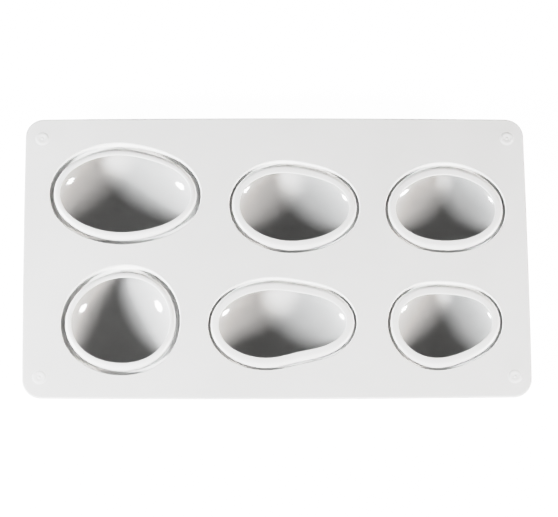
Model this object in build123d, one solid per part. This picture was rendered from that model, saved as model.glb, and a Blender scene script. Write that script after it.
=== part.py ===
from build123d import *
import os
from collections import namedtuple
from math import cos, sin, pi, hypot, radians

# Six-cavity silicone soap mould.
# Row frame: +X along the sheet, +Y to the back, +Z up. The origin is on the table,
# below the middle of the sheet. All lengths are in millimetres.

# Driving dimensions: the sheet
SHEET_LENGTH = 300.0
SHEET_WIDTH = 175.0
SHEET_THICKNESS = 2.5
SHEET_CORNER_RADIUS = 11.0
SHEET_EDGE_RADIUS = 0.8
LONG_SIDE_BOW = 0.9
SHORT_SIDE_BOW = 0.5
OVERALL_HEIGHT = 24.8

# Corner feet, and the low round button on the sheet above each one
FOOT_SPACING_X = 280.0
FOOT_SPACING_Y = 150.0
FOOT_TOP_DIAMETER = 9.0
FOOT_BASE_DIAMETER = 7.6
FOOT_EDGE_RADIUS = 0.8
BUTTON_DIAMETER = 9.0
BUTTON_HEIGHT = 0.3
BUTTON_EDGE_RADIUS = 0.25
DIMPLE_RADIUS = 12.0
DIMPLE_DEPTH = 0.4

# The ring between the groove's rim in the sheet and the cavity's mouth. It is a little
# wider at the front and back of a cavity than at its ends.
RING_WIDTH = 7.05
RING_WIDTH_SWING = 0.65

# The lip round the mouth, and the groove that divides it from the sheet
LIP_EDGE_RADIUS = 0.6
LIP_SHOULDER_RADIUS = 2.8
LIP_SHOULDER_ANGLES = (10, 50, 90)
LIP_SLANT = 0.5
GROOVE_WALL_LEAN = 0.7
WEB_THICKNESS = 1.4

# The cavity: it widens below its mouth, then closes to a rounded bottom
UNDERCUT = 3.5
UNDERCUT_DEPTH = 6.5
SIDE_WALL = 2.3
BOTTOM_WALL = 2.0
DOME_POWER = 2.0
BOTTOM_STATION = 0.96
CUP_STATIONS = (0.88, 0.75, 0.5)

OUTLINE_POINTS = 24

# Each pebble: the depths of its cavity and groove, the lip's width, the cavity's middle (x, y),
# and the groove rim's distance from that middle along eight spokes, counted from +X towards +Y
# in steps of 45 degrees.
Pebble = namedtuple("Pebble", "depth groove_depth lip_width middle spokes")
PEBBLES = {
    "back_left": Pebble(22.0, 4.4, 4.0, (-90.0, 40.0), (45.5, 36.0, 32.0, 38.0, 45.5, 37.5, 32.0, 37.0)),
    "back_middle": Pebble(16.5, 3.1, 5.0, (11.0, 32.0), (39.5, 32.0, 28.5, 34.5, 39.0, 33.5, 29.5, 33.5)),
    "back_right": Pebble(16.0, 3.1, 5.1, (101.0, 31.0), (37.0, 31.5, 28.5, 31.0, 35.5, 32.0, 28.5, 33.0)),
    "front_left": Pebble(22.0, 4.4, 3.8, (-93.0, -40.0), (36.0, 36.5, 34.5, 33.5, 35.0, 34.5, 33.5, 35.5)),
    "front_middle": Pebble(18.5, 3.1, 5.3, (3.0, -42.0), (44.5, 34.0, 28.5, 35.0, 44.0, 36.0, 27.5, 31.5)),
    "front_right": Pebble(16.0, 3.1, 5.2, (99.0, -43.0), (35.0, 31.5, 27.0, 31.5, 33.5, 31.0, 27.5, 28.5)),
}

# Derived heights above the table
SHEET_TOP = OVERALL_HEIGHT - BUTTON_HEIGHT
SHEET_BOTTOM = SHEET_TOP - SHEET_THICKNESS
WIDEST_HEIGHT = SHEET_TOP - UNDERCUT_DEPTH
NOSE_HEIGHT = SHEET_TOP - LIP_EDGE_RADIUS


def groove_floor(pebble):
    return SHEET_TOP - pebble.groove_depth


def lip_base(pebble):
    """The height where the lip, the cup and the web's underside meet."""
    return groove_floor(pebble) - WEB_THICKNESS


def rim_point(pebble, angle):
    """A point on the smooth closed curve through the ends of the pebble's eight spokes."""
    middle_x, middle_y = pebble.middle
    count = len(pebble.spokes)
    half = count // 2
    reach = 0.0
    for index, spoke in enumerate(pebble.spokes):
        swing = angle - 2 * pi * index / count
        waves = sum(cos(order * swing) for order in range(1, half))
        reach += spoke * (1 + 2 * waves + cos(half * swing)) / count
    return middle_x + reach * cos(angle), middle_y + reach * sin(angle)


def rim_normal(pebble, angle, step=0.001):
    """The outward direction of that curve, in plan."""
    before_x, before_y = rim_point(pebble, angle - step)
    after_x, after_y = rim_point(pebble, angle + step)
    along_x = after_x - before_x
    along_y = after_y - before_y
    length = hypot(along_x, along_y)
    return along_y / length, -along_x / length


def outline(pebble, offset, height, scale=1.0):
    """A level closed curve: offset is 0 at the mouth and RING_WIDTH at the groove's rim."""
    middle_x, middle_y = pebble.middle
    points = []
    for index in range(OUTLINE_POINTS):
        angle = 2 * pi * index / OUTLINE_POINTS
        x, y = rim_point(pebble, angle)
        normal_x, normal_y = rim_normal(pebble, angle)
        ring = RING_WIDTH - RING_WIDTH_SWING * (normal_x**2 - normal_y**2)
        inset = ring * (1 - offset / RING_WIDTH)
        x -= inset * normal_x
        y -= inset * normal_y
        points.append((middle_x + scale * (x - middle_x), middle_y + scale * (y - middle_y), height))
    return Wire([Edge.make_spline(points, periodic=True)])


def stack(pebble, sections, ruled=True):
    """A solid through (offset, height) or (offset, height, scale) sections, lowest first."""
    return Solid.make_loft([outline(pebble, *section) for section in sections], ruled)


def bowl_section(height, wall, bottom):
    """The section of a bowl at a height: undercut below its mouth, a rounded dome lower down."""
    if height < WIDEST_HEIGHT:
        station = (WIDEST_HEIGHT - height) / (WIDEST_HEIGHT - bottom)
        return UNDERCUT + wall, height, (1 - station**DOME_POWER) ** (1 / DOME_POWER)
    share = (height - WIDEST_HEIGHT) / (NOSE_HEIGHT - WIDEST_HEIGHT)
    return UNDERCUT * (1 + cos(pi * share)) / 2 + wall, height, 1.0


def bowl(pebble, wall, bottom):
    """A solid bowl from its small flat bottom up to the lip's base."""
    stations = (BOTTOM_STATION, *CUP_STATIONS)
    heights = [WIDEST_HEIGHT - station * (WIDEST_HEIGHT - bottom) for station in stations]
    sections = [bowl_section(height, wall, bottom) for height in (*heights, lip_base(pebble))]
    return stack(pebble, sections, ruled=False)


def make_cup(pebble):
    """The hanging shell that holds the soap, up to the lip's base."""
    cavity_bottom = SHEET_TOP - pebble.depth
    return bowl(pebble, SIDE_WALL, cavity_bottom - BOTTOM_WALL) - bowl(pebble, 0, cavity_bottom)


def rounded_edge(offset, radius, angles):
    """Sections round the lip's top, about a centre one radius below it."""
    for angle in angles:
        yield offset + radius * cos(radians(angle)), SHEET_TOP - radius + radius * sin(radians(angle))


def make_lip(pebble):
    """The rounded bead round the mouth, standing on the cup's top edge."""
    base = lip_base(pebble)
    foot = pebble.lip_width + LIP_SLANT
    crest_end = pebble.lip_width - LIP_SHOULDER_RADIUS * cos(radians(LIP_SHOULDER_ANGLES[0]))
    outside = stack(pebble, [
        (foot, base),
        (foot, groove_floor(pebble)),
        *rounded_edge(crest_end, LIP_SHOULDER_RADIUS, LIP_SHOULDER_ANGLES),
    ])
    rise = (NOSE_HEIGHT - base) / 4
    undercut = [bowl_section(base + step * rise, 0, WIDEST_HEIGHT) for step in range(4)]
    inside = stack(pebble, [*undercut, *rounded_edge(LIP_EDGE_RADIUS, LIP_EDGE_RADIUS, (180, 135, 90))])
    return outside - inside


def make_web(pebble):
    """The thin channel of the groove, which flattens when the cup is pushed up."""
    base = lip_base(pebble)
    foot = pebble.lip_width + LIP_SLANT
    outer_edge = RING_WIDTH + WEB_THICKNESS
    outside = stack(pebble, [
        (outer_edge - 2 * GROOVE_WALL_LEAN, base),
        (outer_edge, SHEET_BOTTOM),
        (outer_edge, SHEET_TOP),
    ])
    lip_space = stack(pebble, [(foot, base), (foot, SHEET_TOP)])
    groove_foot = RING_WIDTH - GROOVE_WALL_LEAN
    groove = stack(pebble, [(groove_foot, groove_floor(pebble)), (RING_WIDTH, SHEET_TOP)])
    return outside - lip_space - groove


def corner_places():
    """Where the four feet and buttons stand, named by corner."""
    for side_y, row in ((-1, "front"), (1, "back")):
        for side_x, column in ((-1, "left"), (1, "right")):
            yield f"{row}_{column}", side_x * FOOT_SPACING_X / 2, side_y * FOOT_SPACING_Y / 2


def sheet_outline():
    """The sheet's plan: sides that bow out a little, with rounded corners."""
    half_x = SHEET_LENGTH / 2
    half_y = SHEET_WIDTH / 2
    sides = [
        ThreePointArc((-half_x, -half_y), (0, -half_y - LONG_SIDE_BOW), (half_x, -half_y)),
        ThreePointArc((half_x, -half_y), (half_x + SHORT_SIDE_BOW, 0), (half_x, half_y)),
        ThreePointArc((half_x, half_y), (0, half_y + LONG_SIDE_BOW), (-half_x, half_y)),
        ThreePointArc((-half_x, half_y), (-half_x - SHORT_SIDE_BOW, 0), (-half_x, -half_y)),
    ]
    plan = make_face(sides)
    return fillet(plan.vertices(), SHEET_CORNER_RADIUS)


def make_sheet():
    """The flat sheet, with a hole for each cavity's web and a button at each corner."""
    sheet = extrude(Pos(0, 0, SHEET_BOTTOM) * sheet_outline(), SHEET_THICKNESS)
    sheet = fillet(sheet.edges().filter_by(Plane.XY), SHEET_EDGE_RADIUS)
    for pebble in PEBBLES.values():
        hole_edge = RING_WIDTH + WEB_THICKNESS
        sheet -= stack(pebble, [(hole_edge, SHEET_BOTTOM - 1), (hole_edge, SHEET_TOP + 1)])
    dimple_centre = SHEET_TOP + BUTTON_HEIGHT - DIMPLE_DEPTH + DIMPLE_RADIUS
    for _, x, y in corner_places():
        button = Pos(x, y, SHEET_TOP - 0.5) * Cylinder(
            BUTTON_DIAMETER / 2, BUTTON_HEIGHT + 0.5, align=(Align.CENTER, Align.CENTER, Align.MIN))
        button = fillet(button.edges().group_by(Axis.Z)[-1], BUTTON_EDGE_RADIUS)
        sheet += button
        sheet -= Pos(x, y, dimple_centre) * Sphere(DIMPLE_RADIUS)
    return sheet


def make_foot(x, y):
    """A tapered post from the table to the sheet's underside."""
    middle = SHEET_BOTTOM / 2
    post = Pos(x, y, middle) * Cone(FOOT_BASE_DIAMETER / 2, FOOT_TOP_DIAMETER / 2, SHEET_BOTTOM)
    return fillet(post.edges().group_by(Axis.Z)[0], FOOT_EDGE_RADIUS)


def write(name, shape):
    shape.label = name
    export_step(shape, f"parts/{name}.step")


def main():
    os.makedirs("parts", exist_ok=True)
    write("sheet", make_sheet())
    for corner, x, y in corner_places():
        write(f"foot_{corner}", make_foot(x, y))
    for place, pebble in PEBBLES.items():
        write(f"cup_{place}", make_cup(pebble))
        write(f"lip_{place}", make_lip(pebble))
        write(f"web_{place}", make_web(pebble))


main()
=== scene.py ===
from math import acos, cos, degrees, hypot, pi, radians, sin, tan

import bmesh
import bpy
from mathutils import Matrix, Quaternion, Vector
from mathutils.geometry import delaunay_2d_cdt


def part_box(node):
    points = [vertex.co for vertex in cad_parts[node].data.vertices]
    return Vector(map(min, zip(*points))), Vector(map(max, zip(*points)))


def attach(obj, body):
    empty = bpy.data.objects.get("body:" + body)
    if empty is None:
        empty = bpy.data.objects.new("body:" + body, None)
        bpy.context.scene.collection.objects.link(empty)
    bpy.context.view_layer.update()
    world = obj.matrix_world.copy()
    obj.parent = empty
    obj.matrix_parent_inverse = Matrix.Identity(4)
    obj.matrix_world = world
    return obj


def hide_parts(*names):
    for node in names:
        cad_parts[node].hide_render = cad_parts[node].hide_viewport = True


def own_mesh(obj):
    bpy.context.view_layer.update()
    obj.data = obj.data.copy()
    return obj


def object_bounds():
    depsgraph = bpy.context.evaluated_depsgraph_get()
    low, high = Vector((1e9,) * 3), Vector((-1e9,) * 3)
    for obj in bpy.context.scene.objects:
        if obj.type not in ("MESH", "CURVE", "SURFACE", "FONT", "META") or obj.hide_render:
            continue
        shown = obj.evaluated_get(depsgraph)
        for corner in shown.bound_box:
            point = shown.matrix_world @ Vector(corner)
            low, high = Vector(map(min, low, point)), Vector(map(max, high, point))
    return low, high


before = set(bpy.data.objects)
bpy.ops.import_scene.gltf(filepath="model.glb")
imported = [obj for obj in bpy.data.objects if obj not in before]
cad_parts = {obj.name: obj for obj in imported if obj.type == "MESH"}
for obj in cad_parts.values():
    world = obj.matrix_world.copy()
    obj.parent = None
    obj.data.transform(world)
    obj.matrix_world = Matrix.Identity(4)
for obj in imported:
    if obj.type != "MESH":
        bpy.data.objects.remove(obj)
cad_low, cad_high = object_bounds()

# Six-cavity silicone soap mould, standing on a pale floor. Lengths are in metres, in the row frame.
MM = 0.001

# The sheet and its corner buttons
SHEET_THICKNESS = 2.5 * MM
SHEET_CORNER_RADIUS = 11.0 * MM
SHEET_EDGE_RADIUS = 0.8 * MM
LONG_SIDE_BOW = 0.9 * MM
SHORT_SIDE_BOW = 0.5 * MM
BUTTON_RADIUS = 4.5 * MM
BUTTON_HEIGHT = 0.3 * MM
BUTTON_EDGE = 1.6 * MM
DIMPLE_REACH = 2.6 * MM
DIMPLE_DEPTH = 0.3 * MM
NUB_RADIUS = 1.4 * MM
NUB_HEIGHT = 0.3 * MM

# The ring between a groove's rim and a cavity's mouth
RING_WIDTH = 7.05 * MM
RING_WIDTH_SWING = 0.65 * MM
RIM_ROUNDING = 0.45 * MM
GROOVE_WALL_LEAN = 0.7 * MM
GROOVE_ROUNDING = 0.5 * MM
WEB_THICKNESS = 1.4 * MM
LIP_SLANT = 0.5 * MM
LIP_EDGE_DROP = 0.6 * MM
LIP_ROUNDING = 2.8 * MM
UNDER_ROUNDING = 0.8 * MM

# The cavity: undercut below its mouth, then a rounded bowl
UNDERCUT = 3.5 * MM
UNDERCUT_DEPTH = 6.5 * MM
SIDE_WALL = 2.3 * MM
BOTTOM_WALL = 2.0 * MM
DOME_POWER = 2.0
BOTTOM_STATION = 0.96
COLLAR_DEPTH = 2.2 * MM

# How far one piece reaches into its neighbour, so that no gap shows between them
EMBED = 0.3 * MM

# The narrow flat strip between a rounded edge and the wide flat faces, which keeps shading clean
EDGE_SUPPORT = 0.3 * MM

# The feet: how much narrower they are at the base, their base's rounding, and their root's flare
FOOT_TAPER = 0.7 * MM
FOOT_BASE_ROUNDING = 0.8 * MM
FOOT_ROOT_FLARE = 1.4 * MM

# Each pebble: the width of its lip's crest, and its groove rim's distance from the pebble's
# middle along eight spokes, counted from +X towards +Y.
PEBBLES = {
    "back_left": (4.0, (45.5, 36.0, 32.0, 38.0, 45.5, 37.5, 32.0, 37.0)),
    "back_middle": (5.0, (39.5, 32.0, 28.5, 34.5, 39.0, 33.5, 29.5, 33.5)),
    "back_right": (5.1, (37.0, 31.5, 28.5, 31.0, 35.5, 32.0, 28.5, 33.0)),
    "front_left": (3.8, (36.0, 36.5, 34.5, 33.5, 35.0, 34.5, 33.5, 35.5)),
    "front_middle": (5.3, (44.5, 34.0, 28.5, 35.0, 44.0, 36.0, 27.5, 31.5)),
    "front_right": (5.2, (35.0, 31.5, 27.0, 31.5, 33.5, 31.0, 27.5, 28.5)),
}
CORNERS = ("front_left", "front_right", "back_left", "back_right")

SILICONE_IOR = 1.41

# Mesh fineness, and the steepest meeting of two faces that still looks smooth
RIM_SEGMENTS = 160
ROUND_SEGMENTS = 48
CORNER_STEPS = 16
SIDE_STEPS = 24
ARC_STEPS = 8
SMALL_ARC_STEPS = 6
NOSE_STEPS = 10
UNDERCUT_STEPS = 16
DIMPLE_STEPS = 12
SMOOTH_ANGLE = radians(32)

# Heights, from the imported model
SHEET_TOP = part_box("lip_back_left")[1].z
SHEET_BOTTOM = SHEET_TOP - SHEET_THICKNESS
WIDEST_HEIGHT = SHEET_TOP - UNDERCUT_DEPTH

# The camera stands in front of the mould and looks down on it.
CAMERA_LENS = 219.3
CAMERA_DISTANCE = 2.0239
CAMERA_AZIMUTH = radians(-4.936)
CAMERA_ELEVATION = radians(71.007)
CAMERA_ROLL = radians(4.593)
CAMERA_CLIP_END = 100
CAMERA_AIM = Vector((0.0016, -0.0014, SHEET_TOP))

# The lights, as azimuth from the front, elevation, distance, diameter, watts and colour. The key lights
# shine into the cavities from both sides of the front. The softboxes further round only show as
# reflections in the glossy bowls.
KEY_LIGHTS = {
    "key_left": (-65.0, 25.0, 1.30, 0.24, 29.0, (0.985, 0.995, 1.0)),
    "key_right": (67.0, 21.5, 1.60, 0.28, 35.0, (1.0, 0.97, 0.945)),
}
SOFTBOXES = {
    "softbox_left": (-76.0, 28.0, 1.05, 0.30, 24.0, (1.0, 1.0, 1.0)),
    "softbox_right": (68.0, 26.0, 1.30, 0.34, 34.0, (1.0, 1.0, 1.0)),
}

# The surroundings: the dim light from all round, the backdrop's brightness to the camera, and
# the floor's glow as the mould and as the camera sees it
AMBIENT = 0.07
BACKDROP = 4.0
FLOOR_HALF_WIDTH = 8.0
FLOOR_GLOW = 0.35
FLOOR_GLOW_SEEN = 3.0

# The tone curve, as scene brightness against picture brightness: whites are rolled off softly
TONE_CURVE = (
    (0.10, 0.09), (0.30, 0.30), (0.50, 0.50), (0.70, 0.69),
    (0.95, 0.80), (1.30, 0.865), (2.00, 0.94), (4.00, 1.00),
)


def direction(azimuth, elevation):
    """The unit vector towards an azimuth, from the front (-Y) towards +X, and an elevation."""
    return Vector((sin(azimuth) * cos(elevation), -cos(azimuth) * cos(elevation), sin(elevation)))


def make_camera():
    camera = bpy.data.objects.new("camera", bpy.data.cameras.new("camera"))
    bpy.context.scene.collection.objects.link(camera)
    back = direction(CAMERA_AZIMUTH, CAMERA_ELEVATION)
    camera.location = CAMERA_AIM + back * CAMERA_DISTANCE
    camera.rotation_mode = "QUATERNION"
    upright = (-back).to_track_quat("-Z", "Y")
    camera.rotation_quaternion = upright @ Quaternion((0, 0, 1), CAMERA_ROLL)
    camera.data.lens = CAMERA_LENS
    camera.data.clip_end = CAMERA_CLIP_END
    bpy.context.scene.camera = camera


def make_lights(placings, glossy):
    """Round area lights aimed at the mould, seen by its glossy reflections or by its matt shading."""
    for name, (azimuth, elevation, distance, diameter, watts, color) in placings.items():
        light = bpy.data.lights.new(name, "AREA")
        light.shape = "DISK"
        light.size = diameter
        light.energy = watts
        light.color = color
        lamp = bpy.data.objects.new(name, light)
        bpy.context.scene.collection.objects.link(lamp)
        towards = direction(radians(azimuth), radians(elevation))
        lamp.location = Vector((0, 0, SHEET_TOP)) + towards * distance
        lamp.rotation_mode = "QUATERNION"
        lamp.rotation_quaternion = (-towards).to_track_quat("-Z", "Y")
        lamp.visible_glossy = glossy
        lamp.visible_diffuse = not glossy


def make_world():
    """Dim all round for light and reflections, but pale where the camera looks past the floor."""
    world = bpy.data.worlds.new("studio")
    bpy.context.scene.world = world
    world.use_nodes = True
    nodes = world.node_tree.nodes
    links = world.node_tree.links
    nodes.clear()
    dim = nodes.new("ShaderNodeBackground")
    dim.inputs["Color"].default_value = (1.0, 0.99, 0.97, 1)
    dim.inputs["Strength"].default_value = AMBIENT
    pale = nodes.new("ShaderNodeBackground")
    pale.inputs["Strength"].default_value = BACKDROP
    rays = nodes.new("ShaderNodeLightPath")
    mix = nodes.new("ShaderNodeMixShader")
    output = nodes.new("ShaderNodeOutputWorld")
    links.new(rays.outputs["Is Camera Ray"], mix.inputs["Fac"])
    links.new(dim.outputs[0], mix.inputs[1])
    links.new(pale.outputs[0], mix.inputs[2])
    links.new(mix.outputs[0], output.inputs["Surface"])


def make_floor():
    """A wide pale floor that glows a little, like a lit acrylic table."""
    half = FLOOR_HALF_WIDTH
    corners = [(-half, -half, 0), (half, -half, 0), (half, half, 0), (-half, half, 0)]
    mesh = bpy.data.meshes.new("floor")
    mesh.from_pydata(corners, [], [(0, 1, 2, 3)])
    floor = bpy.data.objects.new("floor", mesh)
    bpy.context.scene.collection.objects.link(floor)
    material = bpy.data.materials.new("pale_floor")
    material.use_nodes = True
    shader = material.node_tree.nodes["Principled BSDF"]
    shader.inputs["Base Color"].default_value = (0.82, 0.82, 0.82, 1)
    shader.inputs["Roughness"].default_value = 0.7
    shader.inputs["Emission Color"].default_value = (1, 1, 1, 1)
    rays = material.node_tree.nodes.new("ShaderNodeLightPath")
    glow = material.node_tree.nodes.new("ShaderNodeMapRange")
    glow.inputs["To Min"].default_value = FLOOR_GLOW
    glow.inputs["To Max"].default_value = FLOOR_GLOW_SEEN
    material.node_tree.links.new(rays.outputs["Is Camera Ray"], glow.inputs["Value"])
    material.node_tree.links.new(glow.outputs["Result"], shader.inputs["Emission Strength"])
    mesh.materials.append(material)


def silicone(name, tones, roughness, blotch_size, grain_size, grain_height):
    """White silicone: two close tones in soft blotches, a varying sheen and a fine moulded grain."""
    material = bpy.data.materials.new(name)
    material.use_nodes = True
    nodes = material.node_tree.nodes
    links = material.node_tree.links
    shader = nodes["Principled BSDF"]
    shader.inputs["IOR"].default_value = SILICONE_IOR
    place = nodes.new("ShaderNodeTexCoord")

    blotches = nodes.new("ShaderNodeTexNoise")
    blotches.inputs["Scale"].default_value = 1 / blotch_size
    blotches.inputs["Detail"].default_value = 3
    links.new(place.outputs["Object"], blotches.inputs["Vector"])

    ramp = nodes.new("ShaderNodeValToRGB")
    ramp.color_ramp.elements[0].position = 0.35
    ramp.color_ramp.elements[0].color = (*tones[0], 1)
    ramp.color_ramp.elements[1].position = 0.65
    ramp.color_ramp.elements[1].color = (*tones[1], 1)
    links.new(blotches.outputs["Fac"], ramp.inputs["Fac"])
    links.new(ramp.outputs["Color"], shader.inputs["Base Color"])

    sheen = nodes.new("ShaderNodeMapRange")
    sheen.inputs["From Min"].default_value = 0.3
    sheen.inputs["From Max"].default_value = 0.7
    sheen.inputs["To Min"].default_value = roughness[0]
    sheen.inputs["To Max"].default_value = roughness[1]
    links.new(blotches.outputs["Fac"], sheen.inputs["Value"])
    links.new(sheen.outputs["Result"], shader.inputs["Roughness"])

    grain = nodes.new("ShaderNodeTexNoise")
    grain.inputs["Scale"].default_value = 1 / grain_size
    grain.inputs["Detail"].default_value = 2
    links.new(place.outputs["Object"], grain.inputs["Vector"])
    bump = nodes.new("ShaderNodeBump")
    bump.inputs["Strength"].default_value = 1.0
    bump.inputs["Distance"].default_value = grain_height
    links.new(grain.outputs["Fac"], bump.inputs["Height"])
    links.new(bump.outputs["Normal"], shader.inputs["Normal"])
    return material


def satin_silicone():
    """The sheet, the feet and the outside of the cups: a soft satin."""
    return silicone("satin_silicone", ((0.69, 0.69, 0.69), (0.71, 0.71, 0.71)), (0.46, 0.54),
                    blotch_size=45 * MM, grain_size=0.5 * MM, grain_height=0.004 * MM)


def lightened_lip_silicone():
    """The lips and the buttons: a little smoother than the sheet, and painted a little paler than it as
    painted light, where the same silicone shows brighter.
    """
    return silicone("lightened_lip_silicone", ((0.75, 0.75, 0.75), (0.77, 0.77, 0.77)), (0.34, 0.42),
                    blotch_size=30 * MM, grain_size=0.8 * MM, grain_height=0.003 * MM)


def groove_lightening_silicone():
    """The thin web: painted light. Its colour is painted much paler than the sheet's, so the groove is
    paler than its depth would make it, in place of light coming through the thin silicone.
    """
    return silicone("groove_lightening_silicone", ((0.90, 0.90, 0.895), (0.92, 0.92, 0.915)), (0.46, 0.54),
                    blotch_size=45 * MM, grain_size=0.5 * MM, grain_height=0.004 * MM)


def shade_darkened_gloss_silicone():
    """The cavities' polished walls, painted darker than the sheet's silicone as painted shade that deepens
    the shade inside the cavities.
    """
    return silicone("shade_darkened_gloss_silicone", ((0.50, 0.50, 0.50), (0.52, 0.52, 0.52)), (0.07, 0.10),
                    blotch_size=30 * MM, grain_size=6 * MM, grain_height=0.01 * MM)


def encloses(outline, point):
    """Whether a closed outline in the plan goes round a point."""
    inside = False
    for start, end in zip(outline, outline[1:] + outline[:1]):
        if (start.y > point.y) != (end.y > point.y):
            crossing = start.x + (end.x - start.x) * (point.y - start.y) / (end.y - start.y)
            inside ^= point.x < crossing
    return inside


class Skin:
    """The points and faces of one closed piece, built ring by ring."""

    def __init__(self):
        self.points = []
        self.faces = []
        self.finishes = []

    def add(self, points):
        """Adds points and gives back their numbers."""
        start = len(self.points)
        self.points.extend(points)
        return list(range(start, len(self.points)))

    def face(self, corners, finish=0):
        self.faces.append(corners)
        self.finishes.append(finish)

    def band(self, ring, following, finish=0):
        """The faces between two rings with equally many points."""
        for index in range(len(ring)):
            after = (index + 1) % len(ring)
            self.face((ring[index], ring[after], following[after], following[index]), finish)

    def bands(self, rings, finish=0):
        for ring, following in zip(rings, rings[1:]):
            self.band(ring, following, finish)

    def cap(self, ring, tip, finish=0):
        """The fan of faces that closes a ring at one point."""
        for index in range(len(ring)):
            self.face((ring[index], ring[(index + 1) % len(ring)], tip), finish)

    def fill(self, outer, holes):
        """Flat triangles inside the outer ring, which is convex, and outside the holes."""
        owners = []
        edges = []
        for ring in (outer, *holes):
            start = len(owners)
            owners += ring
            edges += [(start + index, start + (index + 1) % len(ring)) for index in range(len(ring))]
        plan = [Vector(self.points[owner][:2]) / MM for owner in owners]
        places, _, triangles, origins, _, _ = delaunay_2d_cdt(plan, edges, [], 0, 1e-6)
        outlines = [[Vector(self.points[owner][:2]) / MM for owner in hole] for hole in holes]
        for triangle in triangles:
            middle = sum((places[corner] for corner in triangle), Vector((0, 0))) / 3
            if not any(encloses(outline, middle) for outline in outlines):
                self.face([owners[origins[corner][0]] for corner in triangle])

    def build(self, name, materials, body):
        """Makes the piece, with smooth faces and sharp edges only where they meet steeply."""
        mesh = bpy.data.meshes.new(name)
        mesh.from_pydata(self.points, [], self.faces)
        for material in materials:
            mesh.materials.append(material)
        mesh.polygons.foreach_set("material_index", self.finishes)
        work = bmesh.new()
        work.from_mesh(mesh)
        bmesh.ops.recalc_face_normals(work, faces=work.faces)
        work.to_mesh(mesh)
        work.free()
        mesh.polygons.foreach_set("use_smooth", [True] * len(mesh.polygons))
        mesh.set_sharp_from_angle(angle=SMOOTH_ANGLE)
        piece = bpy.data.objects.new(name, mesh)
        bpy.context.scene.collection.objects.link(piece)
        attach(piece, body)
        return piece


def arc(centre, radius, start, end, steps):
    """Points on an arc in a profile, both ends included. Angles are in degrees."""
    points = []
    for step in range(steps + 1):
        angle = radians(start + (end - start) * step / steps)
        points.append((centre[0] + radius * cos(angle), centre[1] + radius * sin(angle)))
    return points


def rounded_corner(before, corner, after, radius, steps):
    """The arc that rounds a corner between two straight lines of a profile."""
    corner = Vector(corner)
    back = (Vector(before) - corner).normalized()
    ahead = (Vector(after) - corner).normalized()
    half = acos(back.dot(ahead)) / 2
    reach = radius / tan(half)
    centre = corner + (back + ahead).normalized() * radius / sin(half)
    start = corner + back * reach - centre
    end = corner + ahead * reach - centre
    turn = start.angle_signed(end)
    points = []
    for step in range(steps + 1):
        angle = -turn * step / steps
        across = start.x * cos(angle) - start.y * sin(angle)
        up = start.x * sin(angle) + start.y * cos(angle)
        points.append(tuple(centre + Vector((across, up))))
    return points


class Pebble:
    """The plan of one cavity: its middle, and its groove's rim with the outward directions."""

    def __init__(self, place, lip_width, spokes):
        self.place = place
        self.lip_width = lip_width * MM
        self.lip_foot = self.lip_width + LIP_SLANT
        self.spokes = spokes
        self.rim = [self.rim_point(2 * pi * index / RIM_SEGMENTS) for index in range(RIM_SEGMENTS)]
        self.normals = [self.rim_normal(2 * pi * index / RIM_SEGMENTS) for index in range(RIM_SEGMENTS)]
        low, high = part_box(f"web_{place}")
        width = [point[0] for point in self.rim]
        depth = [point[1] for point in self.rim]
        self.middle_x = (low.x + high.x - min(width) - max(width)) / 2
        self.middle_y = (low.y + high.y - min(depth) - max(depth)) / 2
        self.lip_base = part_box(f"lip_{place}")[0].z
        self.groove_floor = self.lip_base + WEB_THICKNESS
        cup_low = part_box(f"cup_{place}")[0].z
        self.shell_bottom = WIDEST_HEIGHT - (WIDEST_HEIGHT - cup_low) / BOTTOM_STATION
        self.cavity_bottom = self.shell_bottom + BOTTOM_WALL

    def rim_point(self, angle):
        """A point on the smooth closed curve through the ends of the eight spokes."""
        count = len(self.spokes)
        half = count // 2
        reach = 0.0
        for index, spoke in enumerate(self.spokes):
            swing = angle - 2 * pi * index / count
            waves = sum(cos(order * swing) for order in range(1, half))
            reach += spoke * MM * (1 + 2 * waves + cos(half * swing)) / count
        return reach * cos(angle), reach * sin(angle)

    def rim_normal(self, angle, step=0.001):
        before = self.rim_point(angle - step)
        after = self.rim_point(angle + step)
        length = hypot(after[0] - before[0], after[1] - before[1])
        return (after[1] - before[1]) / length, (before[0] - after[0]) / length

    def ring(self, offset, height, scale=1.0):
        """A level ring of points: offset is 0 at the mouth and RING_WIDTH at the groove's rim."""
        points = []
        for (x, y), (normal_x, normal_y) in zip(self.rim, self.normals):
            width = RING_WIDTH - RING_WIDTH_SWING * (normal_x**2 - normal_y**2)
            inset = width * (1 - offset / RING_WIDTH)
            plan_x = scale * (x - inset * normal_x)
            plan_y = scale * (y - inset * normal_y)
            points.append((self.middle_x + plan_x, self.middle_y + plan_y, height))
        return points

    def bowl_rings(self, wall, bottom, steps=32, undercut_steps=12):
        """Rings from the lip's base down to a bowl's widest level, then closing to its bottom."""
        for step in range(undercut_steps):
            height = self.lip_base + (WIDEST_HEIGHT - self.lip_base) * step / undercut_steps
            yield self.ring(undercut_offset(height) + wall, height)
        for step in range(steps):
            angle = pi / 2 * step / steps
            height = WIDEST_HEIGHT - (WIDEST_HEIGHT - bottom) * sin(angle) ** (2 / DOME_POWER)
            yield self.ring(UNDERCUT + wall, height, cos(angle) ** (2 / DOME_POWER))


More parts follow.
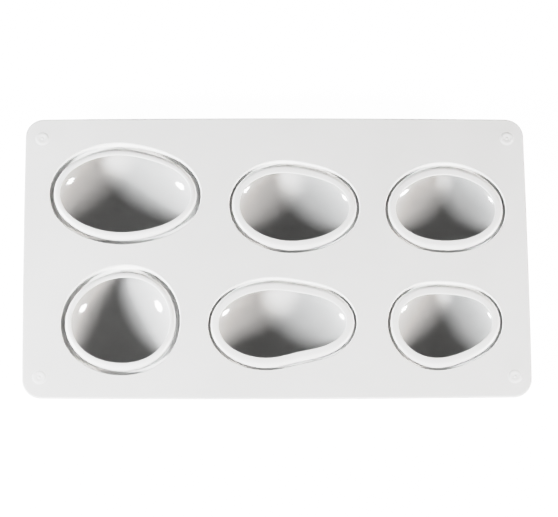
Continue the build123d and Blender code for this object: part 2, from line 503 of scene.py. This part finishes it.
def make_web(pebble, material):
    """The thin channel round the lip: a steep outer wall, rounded corners and a narrow floor."""
    wall_foot = (RING_WIDTH - GROOVE_WALL_LEAN, pebble.groove_floor)
    lip_face = (pebble.lip_width, SHEET_TOP - LIP_EDGE_DROP)
    lip_foot = (pebble.lip_foot, pebble.groove_floor)
    wall_head = (RING_WIDTH, SHEET_TOP - RIM_ROUNDING)
    rounding = min(GROOVE_ROUNDING, 0.4 * (wall_foot[0] - lip_foot[0]))
    outer_corner = rounded_corner(wall_head, wall_foot, lip_foot, rounding, ARC_STEPS)
    inner_corner = rounded_corner(wall_foot, lip_foot, lip_face, rounding, ARC_STEPS)
    wall_steps = 8
    wall_end = Vector(outer_corner[0])
    wall = [tuple(Vector(wall_head).lerp(wall_end, step / wall_steps)) for step in range(wall_steps)]
    buried = (inner_corner[-1][0] - EMBED, inner_corner[-1][1] - EMBED)
    top = [(RING_WIDTH + EMBED, wall_head[1] - EMBED), *wall, *outer_corner, *inner_corner, buried]
    under_foot = (RING_WIDTH + WEB_THICKNESS - 2 * GROOVE_WALL_LEAN, pebble.lip_base)
    under_head = (RING_WIDTH + WEB_THICKNESS, SHEET_BOTTOM)
    under = [(pebble.lip_foot - EMBED, pebble.lip_base + EMBED), (pebble.lip_foot, pebble.lip_base)]
    under_end = (under_head[0] + WEB_THICKNESS, under_head[1])
    under += rounded_corner(under[-1], under_foot, under_head, WEB_THICKNESS, ARC_STEPS)
    under += rounded_corner(under_foot, under_head, under_end, UNDER_ROUNDING, SMALL_ARC_STEPS)
    under.append((under[-1][0], SHEET_BOTTOM + EMBED))
    skin = Skin()
    rings = [skin.add(pebble.ring(offset, height)) for offset, height in top + under]
    skin.bands([*rings, rings[0]])
    piece = skin.build(f"groove_{pebble.place}", [material], "sheet")
    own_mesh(piece)
    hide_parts(f"web_{pebble.place}")


def undercut_offset(height):
    """The offset of the cavity's wall between its widest level and the lip's nose."""
    share = (height - WIDEST_HEIGHT) / (UNDERCUT_DEPTH - LIP_EDGE_DROP)
    return UNDERCUT * (1 + cos(pi * share)) / 2


def make_lip(pebble, pale, gloss):
    """The rounded bead round the mouth; the part of its face inside the cavity is glossy."""
    skin = Skin()
    inner = []
    nose_height = SHEET_TOP - LIP_EDGE_DROP
    for step in range(UNDERCUT_STEPS):
        height = pebble.lip_base + (nose_height - pebble.lip_base) * step / UNDERCUT_STEPS
        inner.append(pebble.ring(undercut_offset(height), height))
    nose = arc((LIP_EDGE_DROP, nose_height), LIP_EDGE_DROP, 180, 90, NOSE_STEPS)
    lean = Vector((LIP_SLANT, nose_height - pebble.groove_floor)).normalized()
    crest_end = pebble.lip_width + (-LIP_ROUNDING + (LIP_ROUNDING - LIP_EDGE_DROP) * lean.x) / lean.y
    tilt = degrees(acos(lean.y))
    shoulder = arc((crest_end, SHEET_TOP - LIP_ROUNDING), LIP_ROUNDING, 90, tilt, ARC_STEPS)
    outer = []
    outer_steps = 6
    for step in range(1, outer_steps + 1):
        height = shoulder[-1][1] + (pebble.groove_floor - shoulder[-1][1]) * step / outer_steps
        share = (nose_height - height) / (nose_height - pebble.groove_floor)
        outer.append((pebble.lip_width + LIP_SLANT * share, height))
    outer.append((pebble.lip_foot, pebble.lip_base))
    gloss_rings = [skin.add(ring) for ring in inner]
    pale_rings = [skin.add(pebble.ring(*point)) for point in nose + shoulder + outer]
    skin.bands([*gloss_rings, pale_rings[0]], finish=1)
    skin.bands(pale_rings)
    skin.band(pale_rings[-1], gloss_rings[0])
    piece = skin.build(f"lip_ring_{pebble.place}", [pale, gloss], f"pocket_{pebble.place}")
    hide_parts(f"lip_{pebble.place}")


def make_cup(pebble, gloss, satin):
    """The hanging bowl: glossy inside, satin outside, with a collar that flares to the groove."""
    skin = Skin()
    inner = list(pebble.bowl_rings(0, pebble.cavity_bottom))
    outer = []
    for wall in pebble.bowl_rings(SIDE_WALL, pebble.shell_bottom):
        height = wall[0][2]
        depth = (pebble.lip_base - height) / COLLAR_DEPTH
        if depth < 1:
            flare = (1 - depth) ** 2
            collar = pebble.ring(max(pebble.lip_foot, UNDERCUT + SIDE_WALL) + EMBED, height)
            wall = [tuple(Vector(a).lerp(Vector(b), flare)) for a, b in zip(wall, collar)]
        outer.append(wall)
    inner_rings = [skin.add(ring) for ring in inner]
    outer_rings = [skin.add(ring) for ring in outer]
    inner_tip, outer_tip = skin.add([(pebble.middle_x, pebble.middle_y, pebble.cavity_bottom),
                                     (pebble.middle_x, pebble.middle_y, pebble.shell_bottom)])
    skin.bands(inner_rings)
    skin.cap(inner_rings[-1], inner_tip)
    skin.band(inner_rings[0], outer_rings[0], finish=1)
    skin.bands(outer_rings, finish=1)
    skin.cap(outer_rings[-1], outer_tip, finish=1)
    piece = skin.build(f"bowl_{pebble.place}", [gloss, satin], f"pocket_{pebble.place}")
    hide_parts(f"cup_{pebble.place}")


def plate_ring(inset, height):
    """The sheet's outline with its bowed sides and round corners, moved inward by inset."""
    outer_x = cad_high.x - SHORT_SIDE_BOW
    outer_y = cad_high.y - LONG_SIDE_BOW
    half_x = outer_x - inset
    half_y = outer_y - inset
    radius = SHEET_CORNER_RADIUS - inset
    corners = []
    for quarter, (side_x, side_y) in enumerate(((1, 1), (-1, 1), (-1, -1), (1, -1))):
        centre_x = side_x * (half_x - radius)
        centre_y = side_y * (half_y - radius)
        corners.append([(centre_x + radius * cos((quarter + step / CORNER_STEPS) * pi / 2),
                         centre_y + radius * sin((quarter + step / CORNER_STEPS) * pi / 2))
                        for step in range(CORNER_STEPS + 1)])
    points = []
    for corner, following in zip(corners, corners[1:] + corners[:1]):
        points += corner
        start = Vector(corner[-1])
        end = Vector(following[0])
        points += [tuple(start.lerp(end, step / SIDE_STEPS)) for step in range(1, SIDE_STEPS)]
    return [(x + SHORT_SIDE_BOW * x / outer_x * (1 - (y / outer_y) ** 2),
             y + LONG_SIDE_BOW * y / outer_y * (1 - (x / outer_x) ** 2), height) for x, y in points]


def circle(x, y, radius, height):
    """A level round ring of points."""
    return [(x + radius * cos(2 * pi * index / ROUND_SEGMENTS),
             y + radius * sin(2 * pi * index / ROUND_SEGMENTS), height) for index in range(ROUND_SEGMENTS)]


def button_profile():
    """From the sheet, up the button's soft side, over its top, through the dimple to its nub."""
    top = SHEET_TOP + BUTTON_HEIGHT
    profile = []
    for step in range(ARC_STEPS + 1):
        share = step / ARC_STEPS
        rise = BUTTON_HEIGHT * (1 - cos(pi * share)) / 2
        profile.append((BUTTON_RADIUS - BUTTON_EDGE * share, SHEET_TOP + rise))
    for step in range(DIMPLE_STEPS):
        radius = DIMPLE_REACH * (1 - step / DIMPLE_STEPS)
        sink = DIMPLE_DEPTH * (1 + cos(pi * radius / DIMPLE_REACH)) / 2
        nub = NUB_HEIGHT * (1 + cos(pi * min(1, radius / NUB_RADIUS))) / 2
        profile.append((radius, top - sink + nub))
    return profile


def make_sheet(pebbles, satin, pale):
    """The flat sheet: rounded edges, a rounded rim round each groove, and four buttons painted paler than
    the sheet as painted light.
    """
    skin = Skin()
    edge = SHEET_EDGE_RADIUS
    side = [(edge + EDGE_SUPPORT, SHEET_TOP)]
    side += [(edge + x, z) for x, z in arc((0, SHEET_TOP - edge), edge, 90, 180, ARC_STEPS)]
    side += [(edge + x, z) for x, z in arc((0, SHEET_BOTTOM + edge), edge, 180, 270, ARC_STEPS)]
    side += [(edge + EDGE_SUPPORT, SHEET_BOTTOM)]
    side_rings = [skin.add(plate_ring(inset, height)) for inset, height in side]
    skin.bands(side_rings)

    hole = [(RING_WIDTH + RIM_ROUNDING + EDGE_SUPPORT, SHEET_TOP)]
    hole += arc((RING_WIDTH + RIM_ROUNDING, SHEET_TOP - RIM_ROUNDING), RIM_ROUNDING, 90, 180, ARC_STEPS)
    hole += [(RING_WIDTH, SHEET_BOTTOM), (RING_WIDTH + EDGE_SUPPORT, SHEET_BOTTOM)]
    top_holes = []
    bottom_holes = []
    for pebble in pebbles:
        rings = [skin.add(pebble.ring(offset, height)) for offset, height in hole]
        skin.bands(rings)
        top_holes.append(rings[0])
        bottom_holes.append(rings[-1])

    for corner in CORNERS:
        low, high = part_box(f"foot_{corner}")
        x = (low.x + high.x) / 2
        y = (low.y + high.y) / 2
        rings = [skin.add(circle(x, y, radius, height)) for radius, height in button_profile()]
        skin.bands(rings, finish=1)
        tip, = skin.add([(x, y, SHEET_TOP + BUTTON_HEIGHT - DIMPLE_DEPTH + NUB_HEIGHT)])
        skin.cap(rings[-1], tip, finish=1)
        top_holes.append(rings[0])

    skin.fill(side_rings[0], top_holes)
    skin.fill(side_rings[-1], bottom_holes)
    piece = skin.build("sheet_plate", [satin, pale], "sheet")
    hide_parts("sheet")


def make_foot(corner, material):
    """A tapered post with a rounded base and a flared root under the sheet."""
    low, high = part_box(f"foot_{corner}")
    x = (low.x + high.x) / 2
    y = (low.y + high.y) / 2
    top_radius = (high.x - low.x) / 2
    base = FOOT_BASE_ROUNDING
    root = FOOT_ROOT_FLARE
    base_radius = top_radius - FOOT_TAPER
    profile = arc((base_radius - base, base), base, 270, 360, SMALL_ARC_STEPS)
    side_steps = 6
    for step in range(1, side_steps):
        share = step / side_steps
        profile.append((base_radius + FOOT_TAPER * share, base + (SHEET_BOTTOM - root - base) * share))
    profile += arc((top_radius + root, SHEET_BOTTOM - root), root, 180, 90, SMALL_ARC_STEPS)
    profile.append((top_radius + root, SHEET_BOTTOM + EMBED))
    skin = Skin()
    rings = [skin.add(circle(x, y, radius, height)) for radius, height in profile]
    skin.bands(rings)
    base_tip, root_tip = skin.add([(x, y, 0), (x, y, SHEET_BOTTOM + EMBED)])
    skin.cap(rings[0], base_tip)
    skin.cap(rings[-1], root_tip)
    piece = skin.build(f"post_{corner}", [material], "sheet")
    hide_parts(f"foot_{corner}")


def set_tones():
    """Plain colours, with the tone curve over them."""
    settings = bpy.context.scene.view_settings
    settings.view_transform = "Standard"
    settings.use_curve_mapping = True
    mapping = settings.curve_mapping
    brightest = TONE_CURVE[-1][0]
    mapping.white_level = (brightest, brightest, brightest)
    curve = mapping.curves[3]
    for brightness, shown in TONE_CURVE[:-1]:
        curve.points.new(brightness / brightest, shown)
    mapping.update()


def main():
    set_tones()
    make_camera()
    make_lights(KEY_LIGHTS, glossy=False)
    make_lights(SOFTBOXES, glossy=True)
    make_world()
    make_floor()
    satin = satin_silicone()
    # painted shade: the cavities' silicone is a darker copy of the sheet's
    gloss = shade_darkened_gloss_silicone()
    # painted light: the lips' and buttons' silicone is a paler copy of the sheet's
    lip = lightened_lip_silicone()
    # painted light: the web's silicone is a much paler copy of the sheet's
    groove_lightening = groove_lightening_silicone()
    pebbles = [Pebble(place, *shape) for place, shape in PEBBLES.items()]
    make_sheet(pebbles, satin, lip)
    for pebble in pebbles:
        make_web(pebble, groove_lightening)
        make_lip(pebble, lip, gloss)
        make_cup(pebble, gloss, satin)
    for corner in CORNERS:
        make_foot(corner, satin)


main()
